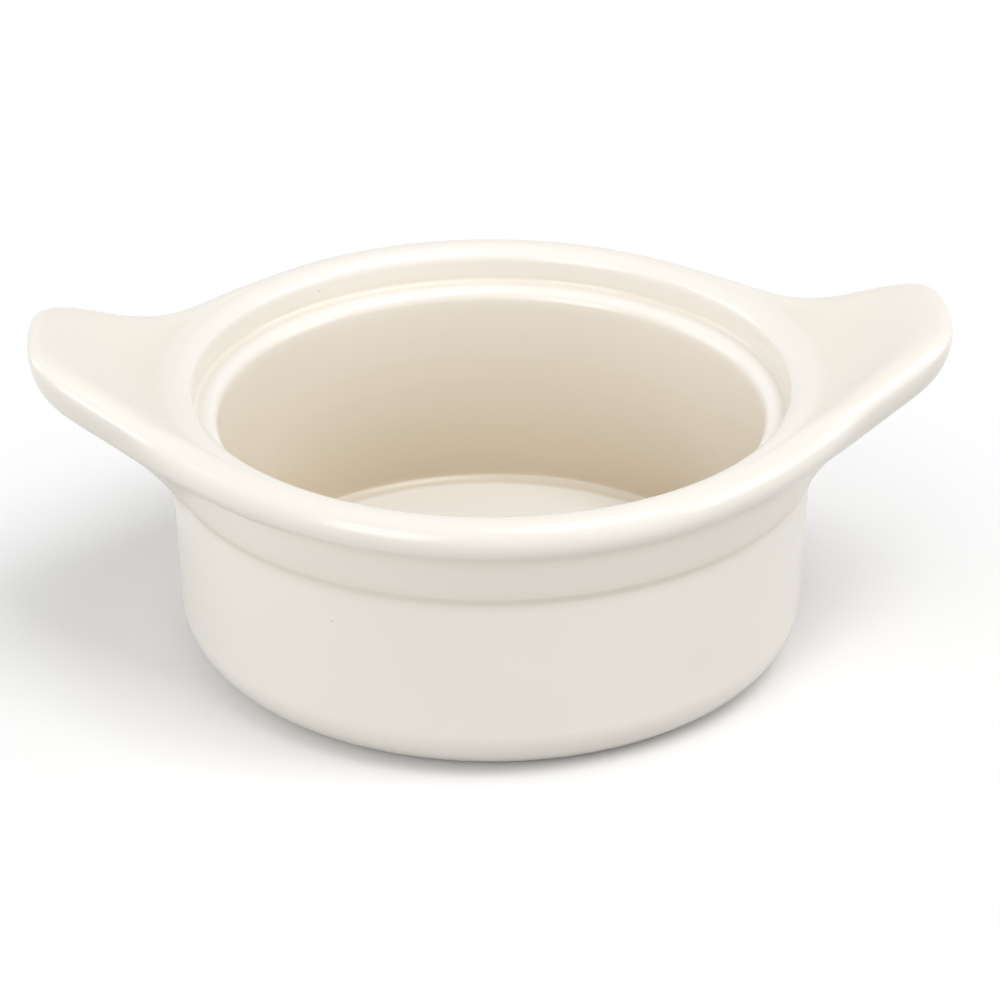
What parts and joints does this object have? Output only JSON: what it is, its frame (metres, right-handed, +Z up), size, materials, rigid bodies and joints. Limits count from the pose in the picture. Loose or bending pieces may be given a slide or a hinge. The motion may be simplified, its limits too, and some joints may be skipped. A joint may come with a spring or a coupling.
{
  "type": "casserole dish",
  "caption": "Individual round casserole dish in ivory glazed china, with a collar and rolled rim, a ledge inside for a lid, and a raised lug handle on either side.",
  "frame": {"origin": "middle of the foot ring, on the plane the dish stands on", "axes": "+X towards the right handle, along the longest side; +Y towards the back; +Z up, along the bowl's turning axis"},
  "size_m": [0.1844, 0.1364, 0.0691],
  "materials": {
    "glazed_china": "clear glossy glaze over an ivory vitrified china body",
    "fired_slip": "unglazed fired clay, hidden in the joint"
  },
  "bodies": {
    "root": {"bowl": "glazed_china", "left_handle": "glazed_china", "right_handle": "glazed_china", "left_slip_seam": "fired_slip", "right_slip_seam": "fired_slip"}
  },
  "joints": []
}
